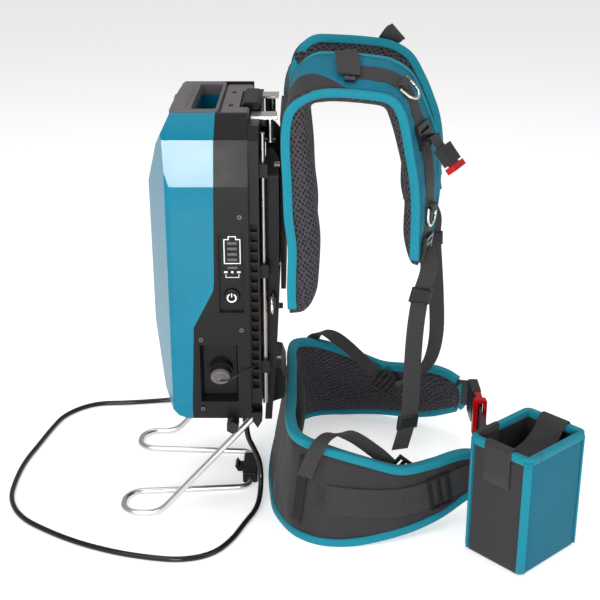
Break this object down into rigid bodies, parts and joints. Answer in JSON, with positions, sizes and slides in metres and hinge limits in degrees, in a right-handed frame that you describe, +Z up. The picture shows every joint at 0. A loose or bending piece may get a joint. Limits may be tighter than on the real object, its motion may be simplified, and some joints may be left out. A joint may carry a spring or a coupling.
{
  "type": "backpack battery power unit",
  "caption": "Back-carried battery unit: faceted case on a wire stand with padded shoulder harness, hip belt, side gauge and socket, corded locking connector and separate adapter pouch.",
  "frame": {"origin": "middle of the underside of the stand's foot clamp, on the surface that the unit stands on and on its middle plane", "axes": "+X the way the wearer faces, from the battery case towards the harness; +Y the wearer's left; +Z up"},
  "size_m": [0.7144, 0.4736, 0.5747],
  "materials": {
    "teal_cover": "gloss",
    "case_black": "satin",
    "handle_grey": "matte",
    "cleat_grey": "satin",
    "print_white": "matte",
    "lamp": "gloss",
    "cell_metal": "satin",
    "board_green": "satin",
    "fastener": "brushed",
    "steel": "polished",
    "ring_metal": "polished",
    "pad_fabric": "woven",
    "webbing": "ribbed",
    "pouch_fabric": "woven",
    "buckle_black": "satin",
    "release_red": "gloss",
    "cord_black": "gloss"
  },
  "bodies": {
    "unit": {"back_padding": "pad_fabric", "back_plate": "buckle_black", "battery_cells": "cell_metal", "belt_webbing": "webbing", "carry_handle": "handle_grey", "cell_carriers": "case_black", "charge_lamps": "lamp", "connector_body": "buckle_black", "connector_relief": "cord_black", "control_board": "board_green", "cord_gland": "buckle_black", "corner_bumpers": "buckle_black", "far_belt_wing": "pad_fabric", "far_shoulder_strap": "pad_fabric", "foot_clamp": "buckle_black", "frame_rails": "steel", "gauge_bezel": "case_black", "gauge_markings": "print_white", "handle_tray": "teal_cover", "harness_bracket": "steel", "hip_bracket": "buckle_black", "hip_webbing": "webbing", "ladder_locks": "buckle_black", "lumbar_pad": "pad_fabric", "main_case": "case_black", "near_belt_wing": "pad_fabric", "near_shoulder_strap": "pad_fabric", "output_socket": "case_black", "pouch": "pouch_fabric", "pouch_straps": "webbing", "power_cord": "cord_black", "rail_clips": "buckle_black", "rear_cover": "teal_cover", "rib_frame": "case_black", "ring_keepers": "webbing", "screws": "fastener", "socket_bezel": "case_black", "stand_brackets": "buckle_black", "stand_wire": "steel", "strap_webbing": "webbing", "top_cleat": "cleat_grey", "top_deck": "case_black", "waist_buckle_body": "buckle_black", "waist_buckle_latch": "buckle_black"},
    "power_button": {"power_button": "case_black"},
    "cap": {"socket_cap": "buckle_black", "cap_tether": "buckle_black"},
    "near_slider": {"near_sternum_slider": "buckle_black"},
    "far_slider": {"far_sternum_slider": "buckle_black"},
    "near_buckle": {"near_sternum_webbing": "webbing", "sternum_buckle_body": "buckle_black"},
    "sternum_button": {"sternum_release_button": "release_red"},
    "far_clip": {"far_sternum_webbing": "webbing", "sternum_buckle_clip": "buckle_black"},
    "lifter_ring": {"lifter_ring": "ring_metal"},
    "strap_ring": {"strap_ring": "ring_metal"},
    "frame_ring": {"frame_ring": "ring_metal"},
    "waist_button": {"waist_release_button": "release_red"},
    "locking_ring": {"connector_ring": "ring_metal"}
  },
  "joints": [
    {"name": "power_button_press", "type": "slide", "parent": "unit", "child": "power_button", "axis": [0, 1, 0], "range_m": [0, 0.0015], "stiffness_N_per_m": 400, "springref_m": -0.0005},
    {"name": "socket_cap_pull", "type": "slide", "parent": "unit", "child": "cap", "axis": [0, -0.9063, -0.4226], "range_m": [0, 0.013]},
    {"name": "near_slider_slide", "type": "slide", "parent": "unit", "child": "near_slider", "axis": [-0.2467, 0, 0.9691], "range_m": [-0.012, 0.012]},
    {"name": "far_slider_slide", "type": "slide", "parent": "unit", "child": "far_slider", "axis": [-0.2787, 0, 0.9604], "range_m": [-0.012, 0.012]},
    {"name": "near_buckle_swing", "type": "hinge", "parent": "near_slider", "child": "near_buckle", "pos_m": [0.21554, -0.10555, 0.48334], "axis": [-0.4481, -0.8867, -0.1141], "range_deg": [-25, 48]},
    {"name": "far_clip_swing", "type": "hinge", "parent": "far_slider", "child": "far_clip", "pos_m": [0.22987, 0.10609, 0.48366], "axis": [0.4875, -0.8616, 0.1415], "range_deg": [0, 80]},
    {"name": "sternum_button_press", "type": "slide", "parent": "near_buckle", "child": "sternum_button", "axis": [-0.5609, 0.2469, 0.7902], "range_m": [0, 0.0018], "stiffness_N_per_m": 300, "springref_m": -0.0005},
    {"name": "lifter_ring_swing", "type": "hinge", "parent": "unit", "child": "lifter_ring", "pos_m": [0.18135, -0.10232, 0.5455], "axis": [-0.2824, -0.8951, -0.3451], "range_deg": [0, 120]},
    {"name": "strap_ring_swing", "type": "hinge", "parent": "unit", "child": "strap_ring", "pos_m": [0.21855, -0.10217, 0.40387], "axis": [-0.4175, -0.9086, 0.0138], "range_deg": [0, 120]},
    {"name": "frame_ring_swing", "type": "hinge", "parent": "unit", "child": "frame_ring", "pos_m": [0.0335, -0.103, 0.287], "axis": [0, 0, 1], "range_deg": [0, 35]},
    {"name": "waist_button_press", "type": "slide", "parent": "unit", "child": "waist_button", "axis": [0, 1, 0], "range_m": [0, 0.0018], "stiffness_N_per_m": 400, "springref_m": -0.0005},
    {"name": "locking_ring_turn", "type": "hinge", "parent": "unit", "child": "locking_ring", "pos_m": [-0.0137, 0.219, 0.0105], "axis": [1, 0, 0], "range_deg": [0, 60]}
  ]
}
